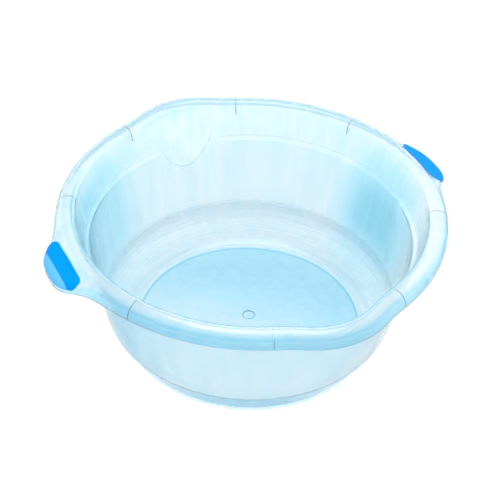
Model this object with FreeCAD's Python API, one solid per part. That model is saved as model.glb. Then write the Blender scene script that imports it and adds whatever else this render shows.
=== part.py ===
"""Round baby bathtub with two pouring lips and two soft grips, in millimetres.

Frame: +Z up, the foot ring stands on Z = 0, the upright axis of the bowl is Z.
The two handles lie on the X axis and the two pouring lips on the Y axis.
The tub is one moulding of even thickness, so its outer skin is its inner skin
moved along the normal of the section by the thickness of the wall.
"""
import FreeCAD, Part
import math
import os

# Heights above the ground
RIM_TOP = 188.0
FLOOR_TOP = 5.2
CREASE_HEIGHT = 42.0
LEDGE_HEIGHT = 142.3

# Radii of the inside, or of the outside where the name says so
FLOOR_RADIUS = 135.0
FOOT_OUTER_RADIUS = 150.7
CREASE_RADIUS = 171.6
LEDGE_RADIUS = 188.8
RIM_OUTER_RADIUS = 226.8

# The floor rises from its edge to a small flat disc in its middle
FLOOR_RISE = 7.0
DISC_RADIUS = 6.0

# Section of the wall
WALL = 2.2
WALL_BULGE = 2.0
BORDER_STEP = 1.2  # up and out, round the edge of the floor
FLOOR_FILLET = 25.0
CREASE_BLEND = 3.0
LEDGE_STEP = 4.5
EDGE_BLEND = 2.7

# Upright ring under the fillet that the tub stands on
FOOT_THICKNESS = 2.0

# Section of the rim
RIM_WIDTH = 24.0
CREST_RADIUS = 9.0
SHOULDER_RADIUS = 15.0
SKIRT_DROP = 17.0

# Pouring lips: a hollow cone that leans outwards from a point on the wall
LIP_APEX_HEIGHT = 112.5
LIP_APEX_RADIUS = 185.4
LIP_LEAN = 0.46
LIP_ROUNDNESS = 0.0085
LIP_FLARE = 0.00006
LIP_EDGE_BLEND = 1.2
LIP_RIM_BLEND = 6.0

# Handles: the rim runs out into a flange that slopes down to a deeper skirt
HANDLE_HALF_ANGLE = math.radians(9.8)
HANDLE_SHARPNESS = 4
FLANGE_REACH = 22.6
FLANGE_CREST_RADIUS = 12.0
FLANGE_CREST_TURN = 55.0
FLANGE_KNEE_OUT = 14.0
FLANGE_KNEE_DOWN = 11.4
FLANGE_SLOPE = 18.0
FLANGE_EDGE_RADIUS = 9.0
FLANGE_SKIRT_DROP = 28.0

# Stiffening ribs between the wall and the skirt, in degrees from the handle axis
RIB_ANGLES = (28.0, 69.5, 110.5, 152.0)
RIB_THICKNESS = 1.0
RIB_ROOT_POINTS = 2

# Round mark of the moulding gate in the middle of the floor
GATE_RADIUS = 7.5
GATE_DEPTH = 0.6
GATE_STUB_RADIUS = 2.0

# Soft grips over the outer end of each handle
GRIP_INNER_EDGE = 224.4
GRIP_OUTER_TIP = 254.8
GRIP_CHORD = 90.0  # before its corners are rounded
GRIP_CORNER = 7.5
GRIP_THICKNESS = 1.7
GRIP_GAP = 0.15
GRIP_EDGE_ROUND = 0.8
GRIP_SIDE_COLUMNS = 15
PEG_RADIUS = 3.0
PEG_CLEARANCE = 0.15
PEG_HEAD_RADIUS = 4.5
PEG_HEAD_THICKNESS = 1.4
PEG_RADIUS_ON_FLANGE = 234.4
PEG_HEAD_GAP = 0.35
PEG_PLACES = (-24.0, 0.0, 24.0)

# Control points of the skins round the tub
COLUMNS = 360
COLUMN_ANGLE = 2 * math.pi / COLUMNS
SEAM_ANGLE = math.radians(45.0)
SKIN_DEGREE = 3

# Control points up each section
FLOOR_STEPS = 6
FILLET_STEPS = 6
WALL_STEPS = 27
UPPER_WALL_STEPS = 10
CREST_STEPS = 6
SHOULDER_STEPS = 7
FLANGE_ARC_STEPS = 2
ROOT_STEPS = 3
UNDER_FILLET_STEPS = 5


def arc(centre, radius, start, end, steps):
    """Points of an arc in the section plane, between two angles in degrees."""
    points = []
    for step in range(steps + 1):
        angle = math.radians(start + (end - start) * step / steps)
        points.append((centre[0] + radius * math.cos(angle), centre[1] + radius * math.sin(angle)))
    return points


def between(start, end, share):
    """The point that lies a share of the way from start to end."""
    return (start[0] + (end[0] - start[0]) * share, start[1] + (end[1] - start[1]) * share)


def line(start, end, steps):
    """Evenly spaced points from start to end, without the two ends."""
    return [between(start, end, step / steps) for step in range(1, steps)]


def towards(start, end, distance):
    """The point at a distance from start, on the way to end."""
    return between(start, end, distance / math.dist(start, end))


def blended_corner(before, corner, after, reach):
    """Three control points that turn a corner of the section softly."""
    return [towards(corner, before, reach), corner, towards(corner, after, reach)]


def fillet_centre():
    """Centre of the fillet round the floor."""
    return FLOOR_RADIUS + BORDER_STEP, FLOOR_TOP + BORDER_STEP + FLOOR_FILLET


def slope_below_crease():
    """Angle of the wall below the crease, in degrees above the level."""
    return math.degrees(math.atan2(CREASE_HEIGHT, CREASE_RADIUS + WALL - FOOT_OUTER_RADIUS))


def floor_fillet():
    """Arc from the step round the floor up to the slope below the crease."""
    return arc(fillet_centre(), FLOOR_FILLET, -90.0, slope_below_crease() - 90.0, FILLET_STEPS)


def angle_under_fillet(radius):
    """Where the outside of the fillet is at a distance from the upright axis, in degrees."""
    return -math.degrees(math.acos((radius - fillet_centre()[0]) / (FLOOR_FILLET + WALL)))


def floor_section(edge_height):
    """Skin of the raised floor, from its middle to its edge."""
    points = []
    for step in range(FLOOR_STEPS + 1):
        radius = DISC_RADIUS + (FLOOR_RADIUS - DISC_RADIUS) * step / FLOOR_STEPS
        points.append((radius, edge_height + FLOOR_RISE * (1 - (radius / FLOOR_RADIUS) ** 2)))
    return points


def bulging(points):
    """Points of the straight wall, moved outwards most half way up."""
    bottom = CREASE_HEIGHT
    result = []
    for radius, height in points:
        share = (height - bottom) / (LEDGE_HEIGHT - bottom)
        result.append((radius + 4 * WALL_BULGE * share * (1 - share), height))
    return result


def bowl_section():
    """Inner skin from the middle of the floor up to the start of the rim."""
    fillet = floor_fillet()
    crease = (CREASE_RADIUS, CREASE_HEIGHT)
    ledge_low = (LEDGE_RADIUS, LEDGE_HEIGHT)
    ledge_high = (LEDGE_RADIUS + LEDGE_STEP, LEDGE_HEIGHT + LEDGE_STEP)
    wall_top = (RIM_OUTER_RADIUS - RIM_WIDTH, RIM_TOP - CREST_RADIUS)
    points = floor_section(FLOOR_TOP)
    points += fillet
    points += blended_corner(fillet[-1], crease, ledge_low, CREASE_BLEND)
    points += bulging(line(crease, ledge_low, WALL_STEPS))
    points += blended_corner(crease, ledge_low, ledge_high, EDGE_BLEND)
    points += blended_corner(ledge_low, ledge_high, wall_top, EDGE_BLEND)
    points += line(ledge_high, wall_top, UPPER_WALL_STEPS)
    return points


def crest_section():
    """Rise of the rim from the inner wall to its top."""
    centre = (RIM_OUTER_RADIUS - SHOULDER_RADIUS, RIM_TOP - CREST_RADIUS)
    return arc(centre, CREST_RADIUS, 180.0, 90.0, CREST_STEPS)


def shoulder_section():
    """Fall of the plain rim from its top to the lower edge of its skirt."""
    centre = (RIM_OUTER_RADIUS - SHOULDER_RADIUS, RIM_TOP - SHOULDER_RADIUS)
    points = arc(centre, SHOULDER_RADIUS, 90.0, 0.0, SHOULDER_STEPS)
    return points[1:] + [(RIM_OUTER_RADIUS, RIM_TOP - SKIRT_DROP)]


def flange_section():
    """Fall of the rim in the middle of a handle, point for point with the shoulder."""
    top = (RIM_OUTER_RADIUS - SHOULDER_RADIUS, RIM_TOP)
    crest = (top[0], RIM_TOP - FLANGE_CREST_RADIUS)
    knee = (top[0] + FLANGE_KNEE_OUT, RIM_TOP - FLANGE_KNEE_DOWN)
    outer = RIM_OUTER_RADIUS + FLANGE_REACH
    edge_radius = outer - FLANGE_EDGE_RADIUS
    fall = (edge_radius - knee[0]) * math.tan(math.radians(FLANGE_SLOPE))
    turn = (edge_radius, knee[1] - fall - FLANGE_EDGE_RADIUS)
    points = arc(crest, FLANGE_CREST_RADIUS, 90.0, 90.0 - FLANGE_CREST_TURN, FLANGE_ARC_STEPS)[1:]
    edge = arc(turn, FLANGE_EDGE_RADIUS, 90.0 - FLANGE_SLOPE, 0.0, FLANGE_ARC_STEPS)
    points += [knee, between(knee, edge[0], 0.5)]
    return points + edge + [(outer, RIM_TOP - FLANGE_SKIRT_DROP)]


BOWL = bowl_section()
CREST = crest_section()
SHOULDER = shoulder_section()
FLANGE = flange_section()


def from_axis(angle, axis):
    """Smallest angle between a direction and either end of an axis."""
    return abs((angle - axis + math.pi / 2) % math.pi - math.pi / 2)


def lip_shift(angle, radius, height):
    """How far a pouring lip pushes a point of the wall outwards."""
    if height < CREASE_HEIGHT:
        return 0.0
    rise = height - LIP_APEX_HEIGHT
    across = radius * from_axis(angle, math.pi / 2)
    cone = LIP_APEX_RADIUS + LIP_LEAN * rise - (LIP_ROUNDNESS - LIP_FLARE * rise) * across ** 2
    blend = LIP_EDGE_BLEND + LIP_RIM_BLEND * max(0.0, height - LEDGE_HEIGHT) / (RIM_TOP - LEDGE_HEIGHT)
    outside = cone - radius
    return (outside + math.hypot(outside, blend)) / 2


def handle_share(angle):
    """1 in the middle of a handle, falling smoothly to 0 beside it."""
    return 1.0 / (1.0 + (from_axis(angle, 0.0) / HANDLE_HALF_ANGLE) ** HANDLE_SHARPNESS)


def top_section(angle):
    """The skin that faces inwards and upwards, from the floor to the skirt's edge."""
    handle = handle_share(angle)
    points = [(radius + lip_shift(angle, radius, height), height) for radius, height in BOWL]
    lip = points[-1][0] - BOWL[-1][0]
    points += [(radius + lip, height) for radius, height in CREST]
    for plain, flange in zip(SHOULDER, FLANGE):
        radius, height = between(plain, flange, handle)
        points.append((radius + lip, height))
    return points


def moved(points, distance):
    """A section moved along its normal, to the outside of the tub."""
    result = []
    last = len(points) - 1
    for index, (radius, height) in enumerate(points):
        before = points[max(0, index - 1)]
        after = points[min(last, index + 1)]
        length = math.dist(before, after)
        outwards = (after[1] - before[1]) / length
        downwards = (after[0] - before[0]) / length
        result.append((radius + distance * outwards, height - distance * downwards))
    return result


def under_section(angle):
    """The skin that faces outwards, from the foot to the inside of the skirt."""
    crease = BOWL.index((CREASE_RADIUS, CREASE_HEIGHT))
    foot = (FOOT_OUTER_RADIUS, 0.0)
    start = angle_under_fillet(FOOT_OUTER_RADIUS)
    fillet = arc(fillet_centre(), FLOOR_FILLET + WALL, start, slope_below_crease() - 90.0, FILLET_STEPS)
    outer = moved(top_section(angle), WALL)[crease - 1:]
    return [foot] + line(foot, fillet[0], ROOT_STEPS) + fillet + outer


def foot_section():
    """The hidden inner side of the foot and the underside of the floor."""
    inner_radius = FOOT_OUTER_RADIUS - FOOT_THICKNESS
    foot = (inner_radius, 0.0)
    start = angle_under_fillet(inner_radius)
    fillet = arc(fillet_centre(), FLOOR_FILLET + WALL, start, -90.0, UNDER_FILLET_STEPS)
    floor = floor_section(FLOOR_TOP - WALL)[::-1]
    return [foot] + line(foot, fillet[0], ROOT_STEPS) + fillet + floor


def spot(angle, radius, height):
    """The point at an angle, a radius and a height."""
    return FreeCAD.Vector(radius * math.cos(angle), radius * math.sin(angle), height)


def rings(section):
    """Rings of control points round the tub, one for each point of a section."""
    angles = [SEAM_ANGLE + COLUMN_ANGLE * column for column in range(COLUMNS)]
    columns = [[spot(angle, *point) for point in section(angle)] for angle in angles]
    return [list(ring) for ring in zip(*columns)]


def clamped_knots(count, degree):
    """Knots and their counts for a row of control points with two ends."""
    spans = count - degree
    knots = [float(knot) for knot in range(spans + 1)]
    counts = [degree + 1] + [1] * (spans - 1) + [degree + 1]
    return knots, counts


def round_knots():
    """Knots and their counts for a closed ring of control points."""
    return [float(knot) for knot in range(COLUMNS + 1)], [1] * (COLUMNS + 1)


def skin(rows):
    """A smooth face closed round the tub through rings of control points."""
    degree = min(SKIN_DEGREE, len(rows) - 1)
    up_knots, up_counts = clamped_knots(len(rows), degree)
    knots, counts = round_knots()
    surface = Part.BSplineSurface()
    surface.buildFromPolesMultsKnots(
        rows, up_counts, counts, up_knots, knots, False, True, degree, SKIN_DEGREE
    )
    return surface.toShape()


def patch(rows):
    """A smooth face with four edges through rows of control points."""
    degree = min(SKIN_DEGREE, len(rows) - 1)
    up_knots, up_counts = clamped_knots(len(rows), degree)
    knots, counts = clamped_knots(len(rows[0]), SKIN_DEGREE)
    surface = Part.BSplineSurface()
    surface.buildFromPolesMultsKnots(
        rows, up_counts, counts, up_knots, knots, False, False, degree, SKIN_DEGREE
    )
    return surface.toShape()


def flat_face(ring):
    """A flat face inside one closed ring of control points."""
    knots, counts = round_knots()
    curve = Part.BSplineCurve()
    curve.buildFromPolesMultsKnots(ring, counts, knots, True, SKIN_DEGREE)
    return Part.Face(Part.Wire(curve.toShape()))


def closed_solid(faces):
    """One solid from faces that meet edge to edge."""
    shell = Part.makeShell(faces)
    shell.sewShape()
    solid = Part.makeSolid(shell)
    if solid.Volume < 0:
        solid.reverse()
    return solid


def plain_tub():
    """The moulded wall, floor, rim and foot without its small features."""
    top = rings(top_section)
    under = rings(under_section)
    foot_points = foot_section()
    foot = rings(lambda angle: foot_points)
    faces = [
        skin(top),
        skin(under),
        skin(foot),
        skin([top[-1], under[-1]]),
        flat_face(top[0]),
        flat_face(foot[-1]),
        flat_face(under[0]).cut(flat_face(foot[0])).Faces[0],
    ]
    return closed_solid(faces)


def rib(angle):
    """One upright plate that fills the hollow of the rim at an angle."""
    middle = moved(top_section(angle), WALL / 2)[len(BOWL) - RIB_ROOT_POINTS:]
    outline = [spot(angle, *point) for point in middle]
    outline[0].z = outline[-1].z
    across = FreeCAD.Vector(-math.sin(angle), math.cos(angle), 0) * RIB_THICKNESS
    wire = Part.makePolygon(outline + [outline[0]])
    wire.translate(across * -0.5)
    return Part.Face(wire).extrude(across)


def gate_mark():
    """What the round gate mark takes out of the floor."""
    base = FreeCAD.Vector(0, 0, FLOOR_TOP + FLOOR_RISE - GATE_DEPTH)
    dish = Part.makeCylinder(GATE_RADIUS, 2 * GATE_DEPTH, base)
    stub = Part.makeCylinder(GATE_STUB_RADIUS, 2 * GATE_DEPTH, base)
    return dish.cut(stub)


def flange_at(angle, radius):
    """Height and slope of a flange's top skin at a distance from the upright axis."""
    section = top_section(angle)[-len(FLANGE):]
    for inner, outer in zip(section, section[1:]):
        if inner[0] <= radius <= outer[0]:
            run = outer[0] - inner[0]
            height = between(inner, outer, (radius - inner[0]) / run)[1]
            return height, math.atan2(inner[1] - outer[1], run)


def flange_bar(side, place, radius, start, end):
    """A round bar square to a flange, between two depths below its top skin."""
    angle = math.asin(place / PEG_RADIUS_ON_FLANGE)
    height, slope = flange_at(angle, PEG_RADIUS_ON_FLANGE)
    outward = FreeCAD.Vector(side * math.cos(angle), math.sin(angle), 0)
    downward = FreeCAD.Vector(0, 0, -1) * math.cos(slope) - outward * math.sin(slope)
    top = outward * PEG_RADIUS_ON_FLANGE
    top.z = height
    return Part.makeCylinder(radius, end - start, top + downward * start, downward)


def tub_shell():
    """The whole tub moulding."""
    ribs = [rib(math.radians(angle + half)) for half in (0.0, 180.0) for angle in RIB_ANGLES]
    tub = plain_tub().fuse(ribs)
    removed = [gate_mark()]
    for side in (-1, 1):
        for place in PEG_PLACES:
            removed.append(flange_bar(side, place, PEG_RADIUS + PEG_CLEARANCE, -WALL, 2 * WALL))
    return tub.cut(removed)


def grip_rows(depth):
    """Control points of a skin that runs over a flange, depth above its top skin."""
    columns = []
    for column in range(-GRIP_SIDE_COLUMNS, GRIP_SIDE_COLUMNS + 1):
        angle = COLUMN_ANGLE * column
        section = moved(top_section(angle), -depth)[-len(FLANGE) - 1:-1]
        section[-1] = between(section[-2], section[-1], 0.5)
        columns.append([spot(angle, *point) for point in section])
    return [list(row) for row in zip(*columns)]


def grip_sheet():
    """A sheet of even thickness over a whole flange."""
    low = grip_rows(GRIP_GAP)
    high = grip_rows(GRIP_GAP + GRIP_THICKNESS)
    low_sides = [list(column) for column in zip(*low)]
    high_sides = [list(column) for column in zip(*high)]
    faces = [patch(low), patch(high)]
    for end in (0, -1):
        faces.append(patch([low[end], high[end]]))
        faces.append(patch([low_sides[end], high_sides[end]]))
    return closed_solid(faces)


def grip_outline():
    """Upright block with the half-moon outline of a grip seen from above."""
    half = GRIP_CHORD / 2
    ends = [FreeCAD.Vector(GRIP_INNER_EDGE, y, 0) for y in (-half, half)]
    tip = FreeCAD.Vector(GRIP_OUTER_TIP, 0, 0)
    edges = [Part.Arc(ends[0], tip, ends[1]).toShape(), Part.LineSegment(ends[1], ends[0]).toShape()]
    block = Part.Face(Part.Wire(edges)).extrude(FreeCAD.Vector(0, 0, RIM_TOP))
    upright = [edge for edge in block.Edges if edge.BoundBox.YLength < GRIP_CORNER]
    return block.makeFillet(GRIP_CORNER, upright)


def grip_cap():
    """The visible part of a grip, with its upper edges rounded."""
    cap = grip_sheet().common(grip_outline())
    largest = sorted(cap.Faces, key=lambda face: face.Area)[-2:]
    upper = max(largest, key=lambda face: face.CenterOfMass.z)
    return cap.makeFillet(GRIP_EDGE_ROUND, upper.Edges)


def grip():
    """The soft grip of the handle on the +X side, with the pegs that hold it."""
    pegs = []
    head_start = WALL + PEG_HEAD_GAP
    head_end = head_start + PEG_HEAD_THICKNESS
    for place in PEG_PLACES:
        pegs.append(flange_bar(1, place, PEG_RADIUS, -GRIP_THICKNESS / 2, head_end))
        pegs.append(flange_bar(1, place, PEG_HEAD_RADIUS, head_start, head_end))
    return grip_cap().fuse(pegs)


def other_side(shape):
    """The same shape turned half a turn about the upright axis."""
    turned = shape.copy()
    turned.rotate(FreeCAD.Vector(0, 0, 0), FreeCAD.Vector(0, 0, 1), 180)
    return turned


if __name__ == "__main__":
    os.makedirs("parts", exist_ok=True)
    soft_grip = grip()
    tub_shell().exportStep("parts/tub_shell.step")
    soft_grip.exportStep("parts/right_grip.step")
    other_side(soft_grip).exportStep("parts/left_grip.step")
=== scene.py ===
import math
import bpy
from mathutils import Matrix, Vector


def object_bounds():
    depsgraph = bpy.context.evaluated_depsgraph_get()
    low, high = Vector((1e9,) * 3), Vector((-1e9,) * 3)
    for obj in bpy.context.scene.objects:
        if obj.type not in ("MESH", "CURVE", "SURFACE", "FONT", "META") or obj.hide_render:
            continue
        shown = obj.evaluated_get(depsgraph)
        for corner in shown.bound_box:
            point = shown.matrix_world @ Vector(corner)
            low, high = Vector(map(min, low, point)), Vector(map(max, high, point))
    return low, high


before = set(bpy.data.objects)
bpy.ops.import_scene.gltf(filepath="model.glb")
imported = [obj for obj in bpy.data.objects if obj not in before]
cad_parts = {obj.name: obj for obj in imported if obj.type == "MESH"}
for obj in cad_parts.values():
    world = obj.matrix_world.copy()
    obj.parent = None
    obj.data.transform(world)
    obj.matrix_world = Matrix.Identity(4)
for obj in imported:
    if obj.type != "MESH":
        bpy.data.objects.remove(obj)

from types import SimpleNamespace

import bpy
from mathutils import Quaternion, Vector

CAD_LOW, CAD_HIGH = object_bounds()

# Photograph's viewing angle, in the frame of the tub
VIEW_AZIMUTH = math.radians(27.572)  # from the +Y axis towards the handle axis
VIEW_DOWN = math.radians(40.697)
VIEW_ROLL = math.radians(2.036)
VIEW_DISTANCE = 1.6344
VIEW_HEIGHT = 0.0912
LENS = 98.2
SHIFT = (-0.00065, 0.03195)
FAR_CLIP = 20.0

# Colours of the tub plastic; the deeper blues of the ramp are painted shade
ABSORPTION_COLOUR = (0.0, 0.78, 0.99, 1.0)
ABSORPTION_DENSITY = 50.0
SHALLOW_BLUE = (0.98, 0.995, 1.0, 1.0)
MIDDLE_BLUE = (0.62, 0.90, 1.0, 1.0)
DEEPEST_BLUE = (0.36, 0.74, 0.88, 1.0)
DEEPEST = 2.0  # depth of blue that gives the deepest colour
# Painted shade on the downward-facing outer cone above the foot
CONE_SHADE_BLUE = (0.33, 0.80, 0.98, 1.0)
UNTINTED_WHITE = (1.0, 1.0, 1.0, 1.0)

# Surface of the tub plastic
PLASTIC_IOR = 1.49
# Transmission weight of the clear plastic, and the milkier weight that paints highlights in bands
CLEAREST, HIGHLIGHT_MILKINESS = 0.82, 0.5
STREAK_NOISE = {"Scale": 90.0, "Detail": 3.0, "Roughness": 0.6}
STREAK_STRETCH = (1.0, 1.0, 0.06)
STREAK_BLUE = (0.3, 0.7, 0.0, 0.3)
STREAK_ROUGHNESS = (0.25, 0.75, 0.11, 0.2)
MOTTLE_NOISE = {"Scale": 35.0, "Detail": 2.0}
MOTTLE_RELIEF = {"Strength": 0.05, "Distance": 0.0006}
GATE_RELIEF = {"Strength": 0.5, "Distance": 0.0006}

# Zones: the two ends of a change along one coordinate, then the values at those ends if they aren't 0 and 1
# Painted shade on the walls: deeper blue towards the handles and up the back wall
RIGHT_WALL = (0.085, 0.20, 0.0, 1.9)
AWAY_FROM_BACK_LIP = (0.11, 0.03)
DOWN_THE_RIGHT_WALL = (0.165, 0.105, 0.5, 1.0)
LEFT_WALL = (-0.03, -0.17, 0.0, 1.4)
BACK_HALF = (-0.10, 0.0)
ABOVE_CREASE = (0.03, 0.08, 0.4, 1.0)
INSIDE_THE_RIM = (0.207, 0.197, 0.25, 1.0)
UP_THE_BACK_WALL = (0.07, 0.16, 0.15, 0.3)
# Painted shade on the floor, deeper towards the far side
ON_THE_FLOOR = (0.140, 0.134)
ALONG_THE_FLOOR = (-0.10, 0.09, 0.0, 1.1)
# Painted shade on the upright face of the outer skirt, deeper towards the near side
ON_THE_SKIRT = (0.206, 0.216)
ROUND_THE_SKIRT = (0.04, -0.10, 0.45, 1.2)
STANDING_FACE = (0.95, 0.6)
# Painted shade along the inner edge of the rim, on the near side
ON_THE_CROWN = (0.178, 0.183)
NEAR_SIDE = (0.0, -0.08)
INNER_SKIN = (0.02, 0.08)
OUTER_SKIN = (0.0, -0.1)
# Zones of the painted highlights
BESIDE_THE_LIPS = (0.03, 0.06, 0.0, 0.5)
BORDER_HEIGHT = (0.034, 0.026)
CROWN_HIGHLIGHT = (0.181, 0.187, 0.0, 0.25)
BELOW_THE_RIM = (0.172, 0.158)
# Height of the painted shade on the outer cone
CONE_HEIGHT = (0.045, 0.036)
RIB_FACE = (0.25, 0.1)

# Lines: where they start, are strongest and end along one coordinate, then their strength if it isn't 1
GATE_RING = (0.0052, 0.0072, 0.0092)
# Painted shade: a deeper-blue line at the step round the edge of the floor
FLOOR_EDGE_SHADE = (0.1330, 0.1350, 0.1370, 1.5)
# Painted shade line on the inward-leaning edge of the rim
CROWN_LEANING_IN = (-0.85, -0.5, -0.15, 1.4)
# Painted highlights, drawn as milkier bands of the inner skin
CREASE_HIGHLIGHT = (0.026, 0.042, 0.060, 1.3)
LEDGE_HIGHLIGHT = (0.1405, 0.1445, 0.1485)
BORDER_HIGHLIGHT = (0.1365, 0.147, 0.165)
LIP_HIGHLIGHT_LINE = (0.1085, 0.1125, 0.1165, 0.7)

# The painted highlight along a lip's edge is an arch that rises with the square of the distance from its
# middle
LIP_ARCH = 25.0
# Direction from the near side of the tub to the far side; painted shade deepens along it on the floor and
# fades along it on the rim's inner edge
NEAR_TO_FAR = (0.7, 0.71, 0.0)

# Grips
RUBBER_IOR = 1.45
RUBBER_SPECULAR = 0.03
GRIP_BLUE = (0.0, 0.30, 0.95, 1.0)
# Painted light on the outermost slope of the left grip, as if lit from the left
SIDE_LIT_GRIP_BLUE = (0.13, 0.52, 0.93, 1.0)
OUTERMOST_LEFT = (-0.2400, -0.2420)
GRAIN_NOISE = {"Scale": 1400.0, "Detail": 2.0}
GRAIN_ROUGHNESS = (0.3, 0.7, 0.38, 0.55)
GRAIN_RELIEF = {"Strength": 0.15, "Distance": 0.0002}

# Studio
FLOOR_HALF_SIZE = 3.0
FLOOR_LOOK = {
    "Base Color": (0.2, 0.2, 0.2, 1.0),
    "Roughness": 0.9,
    "Specular IOR Level": 0.0,
    "Emission Color": (1.0, 1.0, 1.0, 1.0),
    "Emission Strength": 0.95,
}
SKY_COLOUR = (0.92, 0.955, 1.0, 1.0)
SKY_STRENGTH = (0.18, 0.38, 1.75, 0.5)  # from near the horizon to higher up
LIGHTS = (
    # name, place, aim, size, power, seen in reflections and through the plastic
    ("top softbox", (0.15, 0.25, 1.9), (0.0, 0.0, 0.1), 1.0, 12.0, True),
    ("bowl light", (-0.03, -0.16, 0.52), (0.06, 0.2, 0.13), 0.3, 1.6, False),
)
LIGHT_BOUNCES = 40

# Layout of the nodes in the editor
NODES_IN_A_COLUMN = 10
COLUMN_WIDTH, ROW_HEIGHT = 220, 260


def enabled(sockets, name):
    """The socket of that name that the node's settings leave in use."""
    return next(socket for socket in sockets if socket.name == name and socket.enabled)


def node(tree, kind, values=None, **settings):
    """A shader node with its settings and the values of its inputs."""
    column, row = divmod(len(tree.nodes), NODES_IN_A_COLUMN)
    made = tree.nodes.new(kind)
    made.location = (column * COLUMN_WIDTH, -row * ROW_HEIGHT)
    for name, value in settings.items():
        setattr(made, name, value)
    for name, value in (values or {}).items():
        enabled(made.inputs, name).default_value = value
    return made


def empty_material(name):
    material = bpy.data.materials.new(name)
    material.use_nodes = True
    material.node_tree.nodes.clear()
    return material, material.node_tree


def shader(tree, values):
    """A Principled shader joined to the surface output, and that output node."""
    out = node(tree, "ShaderNodeOutputMaterial")
    skin = node(tree, "ShaderNodeBsdfPrincipled", values)
    tree.links.new(skin.outputs["BSDF"], out.inputs["Surface"])
    return skin, out


def smooth_range(tree, source, low, high, bottom=0.0, top=1.0):
    """A value that runs smoothly from bottom to top while the source runs from low to high."""
    made = node(tree, "ShaderNodeMapRange", {
        "From Min": low,
        "From Max": high,
        "To Min": bottom,
        "To Max": top,
    }, interpolation_type="SMOOTHSTEP")
    tree.links.new(source, made.inputs["Value"])
    return made.outputs["Result"]


def combined(tree, operation, *sources):
    """Several values put together two by two with one operation."""
    total = sources[0]
    for source in sources[1:]:
        made = node(tree, "ShaderNodeMath", operation=operation)
        tree.links.new(total, made.inputs[0])
        tree.links.new(source, made.inputs[1])
        total = made.outputs["Value"]
    return total


def line_at(tree, source, low, middle, high, strength=1.0):
    """The strength where the source is at the middle, falling smoothly to 0 at low and at high."""
    rising = smooth_range(tree, source, low, middle, 0.0, strength)
    falling = smooth_range(tree, source, high, middle)
    return combined(tree, "MULTIPLY", rising, falling)


def without_sign(tree, source):
    made = node(tree, "ShaderNodeMath", operation="ABSOLUTE")
    tree.links.new(source, made.inputs[0])
    return made.outputs["Value"]


def split(tree, vector):
    """The X, Y and Z of a vector."""
    made = node(tree, "ShaderNodeSeparateXYZ")
    tree.links.new(vector, made.inputs["Vector"])
    return tuple(made.outputs[axis] for axis in "XYZ")


def dot(tree, first, second):
    """Dot product of a vector with another vector, which is a socket or three numbers."""
    made = node(tree, "ShaderNodeVectorMath", operation="DOT_PRODUCT")
    tree.links.new(first, made.inputs[0])
    if isinstance(second, tuple):
        made.inputs[1].default_value = second
    else:
        tree.links.new(second, made.inputs[1])
    return made.outputs["Value"]


def mix(tree, factor, first, second, blend="MIX"):
    """A colour between a first one, which is a socket or a colour, and a second one."""
    made = node(tree, "ShaderNodeMix", {"B": second}, data_type="RGBA", blend_type=blend)
    tree.links.new(factor, enabled(made.inputs, "Factor"))
    if isinstance(first, tuple):
        enabled(made.inputs, "A").default_value = first
    else:
        tree.links.new(first, enabled(made.inputs, "A"))
    return enabled(made.outputs, "Result")


def noise(tree, place, values):
    made = node(tree, "ShaderNodeTexNoise", values)
    tree.links.new(place, made.inputs["Vector"])
    return made.outputs["Fac"]


def relief(tree, height, values, under=None):
    """A bump from a height, over another bump if there is one under it."""
    made = node(tree, "ShaderNodeBump", values)
    tree.links.new(height, made.inputs["Height"])
    if under:
        tree.links.new(under, made.inputs["Normal"])
    return made.outputs["Normal"]


def coordinates(tree):
    """Where a point of the tub is, and which way its surface faces."""
    place = node(tree, "ShaderNodeTexCoord").outputs["Object"]
    normal = node(tree, "ShaderNodeNewGeometry").outputs["Normal"]
    x, y, z = split(tree, place)
    upwards = split(tree, normal)[2]
    level = node(tree, "ShaderNodeVectorMath", {"Vector": (1.0, 1.0, 0.0)}, operation="MULTIPLY")
    length = node(tree, "ShaderNodeVectorMath", operation="LENGTH")
    outward = node(tree, "ShaderNodeVectorMath", operation="NORMALIZE")
    tree.links.new(place, level.inputs[1])
    tree.links.new(level.outputs["Vector"], length.inputs[0])
    tree.links.new(level.outputs["Vector"], outward.inputs[0])
    return SimpleNamespace(
        place=place,
        x=x,
        y=y,
        z=z,
        radius=length.outputs["Value"],
        upwards=upwards,
        lying=without_sign(tree, upwards),
        outwards=dot(tree, outward.outputs["Vector"], normal),
        far=dot(tree, place, NEAR_TO_FAR),
    )


def back_wall_painted_shade(tree, at):
    """Painted shade: depth of blue in the back half of the wall, most of all towards the handles."""
    right = combined(
        tree, "MULTIPLY",
        smooth_range(tree, at.x, *RIGHT_WALL),
        smooth_range(tree, at.y, *AWAY_FROM_BACK_LIP),
        smooth_range(tree, at.z, *DOWN_THE_RIGHT_WALL),
    )
    left = smooth_range(tree, at.x, *LEFT_WALL)
    back = smooth_range(tree, at.y, *BACK_HALF)
    sides = combined(
        tree, "MULTIPLY",
        combined(tree, "MAXIMUM", right, left),
        back,
        smooth_range(tree, at.z, *ABOVE_CREASE),
        smooth_range(tree, at.radius, *INSIDE_THE_RIM),
    )
    middle = combined(tree, "MULTIPLY", back, smooth_range(tree, at.z, *UP_THE_BACK_WALL))
    return combined(tree, "MAXIMUM", sides, middle)


def floor_painted_shade(tree, at):
    return combined(
        tree, "MULTIPLY",
        smooth_range(tree, at.radius, *ON_THE_FLOOR),
        smooth_range(tree, at.far, *ALONG_THE_FLOOR),
    )


# Painted shade: the skirt's upright face deepens in blue towards the near side
def skirt_painted_shade(tree, at):
    return combined(
        tree, "MULTIPLY",
        smooth_range(tree, at.radius, *ON_THE_SKIRT),
        smooth_range(tree, at.y, *ROUND_THE_SKIRT),
        smooth_range(tree, at.lying, *STANDING_FACE),
    )


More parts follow.
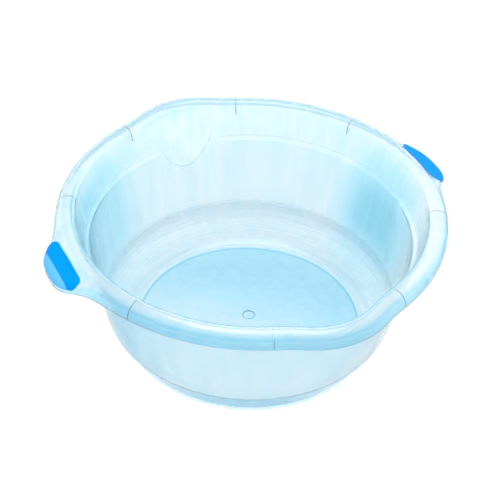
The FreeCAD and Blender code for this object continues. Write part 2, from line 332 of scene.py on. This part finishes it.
def crown_edge_painted_shade(tree, at):
    """Painted shade: a thin deeper-blue line along the inner edge of the rim, on the side near the camera.
    """
    return combined(
        tree, "MULTIPLY",
        line_at(tree, at.outwards, *CROWN_LEANING_IN),
        smooth_range(tree, at.z, *ON_THE_CROWN),
        smooth_range(tree, at.far, *NEAR_SIDE),
    )


def shade_and_streak_tint(tree, at, gate, streak):
    """Colour of the plastic from its depth of blue, which is painted shade in zones and lines, plus the
    gate ring and the moulding streaks.
    """
    zones = combined(
        tree, "MAXIMUM", back_wall_painted_shade(tree, at), floor_painted_shade(tree, at), skirt_painted_shade(tree, at),
    )
    lines = combined(tree, "ADD", line_at(tree, at.radius, *FLOOR_EDGE_SHADE), crown_edge_painted_shade(tree, at), gate)
    unevenness = smooth_range(tree, streak, *STREAK_BLUE)
    share = node(tree, "ShaderNodeMapRange", {"From Max": DEEPEST})
    tree.links.new(combined(tree, "ADD", zones, lines, unevenness), share.inputs["Value"])
    ramp = node(tree, "ShaderNodeValToRGB")
    shallow, deepest = ramp.color_ramp.elements
    shallow.color = SHALLOW_BLUE
    deepest.color = DEEPEST_BLUE
    ramp.color_ramp.elements.new(0.5).color = MIDDLE_BLUE
    tree.links.new(share.outputs["Result"], ramp.inputs["Fac"])
    return ramp.outputs["Color"]


def painted_lip_highlight(tree, at):
    """Painted highlight: a line along the edge of each pouring lip."""
    arch = node(tree, "ShaderNodeMath", operation="MULTIPLY_ADD")
    tree.links.new(combined(tree, "MULTIPLY", at.x, at.x), arch.inputs[0])
    arch.inputs[1].default_value = -LIP_ARCH
    tree.links.new(at.z, arch.inputs[2])
    line = line_at(tree, arch.outputs["Value"], *LIP_HIGHLIGHT_LINE)
    return combined(tree, "MULTIPLY", line, smooth_range(tree, at.z, *BELOW_THE_RIM))


def painted_highlight_bands(tree, at):
    """Painted highlights as milkier bands of the inner skin: crease, edge of the floor, ledge, crown and
    lips.
    """
    side = without_sign(tree, at.x)
    ledge = combined(
        tree, "MULTIPLY",
        line_at(tree, at.z, *LEDGE_HIGHLIGHT),
        smooth_range(tree, side, *BESIDE_THE_LIPS),
    )
    border = combined(
        tree, "MULTIPLY",
        line_at(tree, at.radius, *BORDER_HIGHLIGHT),
        smooth_range(tree, at.z, *BORDER_HEIGHT),
    )
    bands = combined(
        tree, "MAXIMUM",
        line_at(tree, at.z, *CREASE_HIGHLIGHT),
        border,
        ledge,
        smooth_range(tree, at.z, *CROWN_HIGHLIGHT),
        painted_lip_highlight(tree, at),
    )
    return combined(tree, "MULTIPLY", bands, smooth_range(tree, at.upwards, *INNER_SKIN))


def rib_faces(tree, at):
    """1 on upright faces that look along the rim, which are the polished faces of the ribs."""
    across = smooth_range(tree, without_sign(tree, at.outwards), *RIB_FACE)
    upright = smooth_range(tree, at.lying, *RIB_FACE)
    return combined(tree, "MULTIPLY", across, upright)


def shaded_base_cone(tree, at):
    """1 on the outer skin of the cone between the crease and the foot, where painted shade deepens the blue
    of this downward-facing band.
    """
    outer = smooth_range(tree, at.upwards, *OUTER_SKIN)
    return combined(tree, "MULTIPLY", outer, smooth_range(tree, at.z, *CONE_HEIGHT))


def flow_streaks(tree, at):
    """Faint upright streaks from the moulding."""
    stretch = node(tree, "ShaderNodeMapping", {"Scale": STREAK_STRETCH})
    tree.links.new(at.place, stretch.inputs["Vector"])
    return noise(tree, stretch.outputs["Vector"], STREAK_NOISE)


def plastic():
    """Translucent pale blue polypropylene, glossy and a little milky, with painted shade as deeper blues
    and painted highlights as milkier bands.
    """
    material, tree = empty_material("tub plastic")
    link = tree.links.new
    skin, out = shader(tree, {"IOR": PLASTIC_IOR})
    at = coordinates(tree)
    gate = line_at(tree, at.radius, *GATE_RING)
    streak = flow_streaks(tree, at)
    polished = rib_faces(tree, at)

    shaded_tint = mix(tree, shaded_base_cone(tree, at), shade_and_streak_tint(tree, at, gate, streak), CONE_SHADE_BLUE, "MULTIPLY")
    link(mix(tree, polished, shaded_tint, UNTINTED_WHITE), skin.inputs["Base Color"])
    clear = smooth_range(tree, painted_highlight_bands(tree, at), 0.0, 1.0, CLEAREST, HIGHLIGHT_MILKINESS)
    link(combined(tree, "MAXIMUM", clear, polished), skin.inputs["Transmission Weight"])
    link(smooth_range(tree, streak, *STREAK_ROUGHNESS), skin.inputs["Roughness"])
    mottle = relief(tree, noise(tree, at.place, MOTTLE_NOISE), MOTTLE_RELIEF)
    link(relief(tree, gate, GATE_RELIEF, mottle), skin.inputs["Normal"])

    absorbing = node(tree, "ShaderNodeVolumeAbsorption", {
        "Color": ABSORPTION_COLOUR,
        "Density": ABSORPTION_DENSITY,
    })
    link(absorbing.outputs["Volume"], out.inputs["Volume"])
    return material


def rubber():
    """Soft azure rubber with a fine grain, with painted light making the outermost slope of the left grip
    paler.
    """
    material, tree = empty_material("grip rubber")
    link = tree.links.new
    skin, _ = shader(tree, {"IOR": RUBBER_IOR, "Specular IOR Level": RUBBER_SPECULAR})
    place = node(tree, "ShaderNodeTexCoord").outputs["Object"]
    outermost = smooth_range(tree, split(tree, place)[0], *OUTERMOST_LEFT)
    link(mix(tree, outermost, GRIP_BLUE, SIDE_LIT_GRIP_BLUE), skin.inputs["Base Color"])
    grain = noise(tree, place, GRAIN_NOISE)
    link(smooth_range(tree, grain, *GRAIN_ROUGHNESS), skin.inputs["Roughness"])
    link(relief(tree, grain, GRAIN_RELIEF), skin.inputs["Normal"])
    return material


def give(name, material):
    """Puts a material on a CAD node."""
    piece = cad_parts[name]
    piece.data.materials.clear()
    piece.data.materials.append(material)


def white_floor():
    """White floor that gives off light of its own."""
    half = FLOOR_HALF_SIZE
    mesh = bpy.data.meshes.new("floor")
    corners = [(-half, -half, 0.0), (half, -half, 0.0), (half, half, 0.0), (-half, half, 0.0)]
    mesh.from_pydata(corners, [], [(0, 1, 2, 3)])
    floor = bpy.data.objects.new("floor", mesh)
    floor.location.z = CAD_LOW.z
    bpy.context.scene.collection.objects.link(floor)
    material, tree = empty_material("floor")
    shader(tree, FLOOR_LOOK)
    mesh.materials.append(material)


def sky():
    """Pale sky that glows near the horizon."""
    world = bpy.data.worlds.new("studio")
    world.use_nodes = True
    tree = world.node_tree
    background = tree.nodes["Background"]
    background.inputs["Color"].default_value = SKY_COLOUR
    direction = node(tree, "ShaderNodeTexCoord").outputs["Generated"]
    strength = smooth_range(tree, split(tree, direction)[2], *SKY_STRENGTH)
    tree.links.new(strength, background.inputs["Strength"])
    bpy.context.scene.world = world


def lamp(name, place, aim, size, power, mirrored):
    """Square area light that the camera doesn't see."""
    data = bpy.data.lights.new(name, "AREA")
    data.size = size
    data.energy = power
    light = bpy.data.objects.new(name, data)
    light.location = place
    light.rotation_euler = (Vector(aim) - Vector(place)).to_track_quat("-Z", "Y").to_euler()
    light.visible_camera = False
    light.visible_glossy = mirrored
    light.visible_transmission = mirrored
    bpy.context.scene.collection.objects.link(light)


def camera():
    """Camera at the photograph's angle, distance and lens."""
    flat = math.cos(VIEW_DOWN)
    forward = Vector((flat * math.sin(VIEW_AZIMUTH), flat * math.cos(VIEW_AZIMUTH), -math.sin(VIEW_DOWN)))
    target = Vector((0, 0, CAD_LOW.z + VIEW_HEIGHT))
    data = bpy.data.cameras.new("camera")
    data.lens = LENS
    data.shift_x, data.shift_y = SHIFT
    data.clip_end = FAR_CLIP
    eye = bpy.data.objects.new("camera", data)
    eye.location = target - forward * VIEW_DISTANCE
    level = forward.to_track_quat("-Z", "Y")
    eye.rotation_euler = (level @ Quaternion((0, 0, 1), VIEW_ROLL)).to_euler()
    bpy.context.scene.collection.objects.link(eye)
    bpy.context.scene.camera = eye


tub_plastic = plastic()
grip_rubber = rubber()
give("tub_shell", tub_plastic)
give("left_grip", grip_rubber)
give("right_grip", grip_rubber)
white_floor()
sky()
for light in LIGHTS:
    lamp(*light)
camera()
bpy.context.scene.view_settings.view_transform = "Standard"
bpy.context.scene.cycles.max_bounces = LIGHT_BOUNCES
bpy.context.scene.cycles.transmission_bounces = LIGHT_BOUNCES
